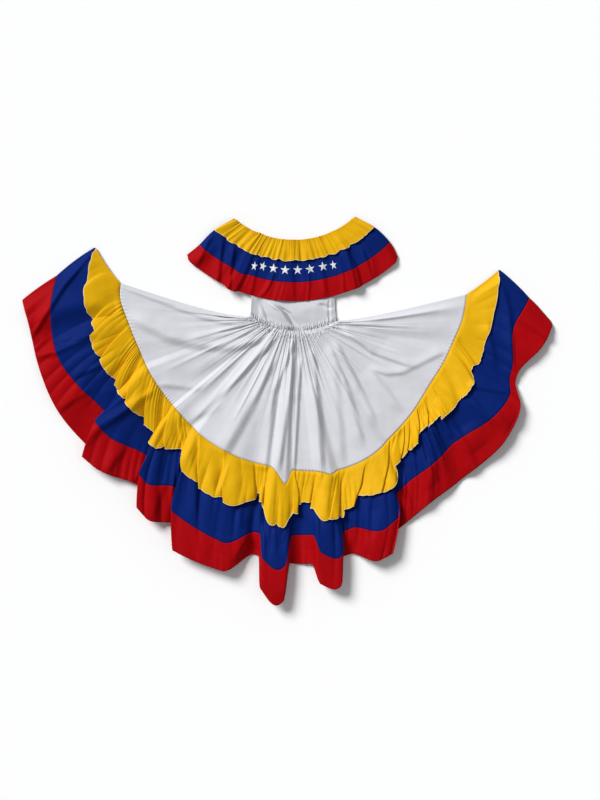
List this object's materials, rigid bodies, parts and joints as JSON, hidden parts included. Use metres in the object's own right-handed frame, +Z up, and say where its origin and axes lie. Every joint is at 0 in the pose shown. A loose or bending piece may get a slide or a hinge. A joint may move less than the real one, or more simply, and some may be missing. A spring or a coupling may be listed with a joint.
{
  "type": "venezuelan folk dress",
  "caption": "Off-shoulder folk dress laid flat: white bodice and full gathered skirt, flounces in yellow, blue and red bands, white stars on the neck flounce.",
  "frame": {"origin": "on the surface the dress lies on, under the middle of its outline", "axes": "+X to the right of the laid dress as seen from above, +Y from the hem to the neckline, +Z up from the surface to the front of the dress"},
  "size_m": [1.86, 1.358, 0.0446],
  "materials": {
    "white cloth": "smooth plain weave with a slight sheen",
    "yellow cloth": "smooth plain weave with a slight sheen",
    "blue cloth": "smooth plain weave with a slight sheen",
    "red cloth": "smooth plain weave with a slight sheen",
    "star cloth": "matt applied cloth",
    "hem thread": "matt thread"
  },
  "bodies": {
    "root": {"bodice_front": "white cloth", "bodice_back": "white cloth", "neck_yellow_front": "yellow cloth", "neck_yellow_back": "yellow cloth", "neck_blue_front": "blue cloth", "neck_blue_back": "blue cloth", "neck_red_front": "red cloth", "neck_red_back": "red cloth", "skirt_white_front": "white cloth", "skirt_white_back": "white cloth", "skirt_yellow_front": "yellow cloth", "skirt_yellow_back": "yellow cloth", "skirt_blue_front": "blue cloth", "skirt_blue_back": "blue cloth", "skirt_red_front": "red cloth", "skirt_red_back": "red cloth", "star_1": "star cloth", "star_2": "star cloth", "star_3": "star cloth", "star_4": "star cloth", "star_5": "star cloth", "star_6": "star cloth", "star_7": "star cloth", "star_8": "star cloth"}
  },
  "joints": []
}
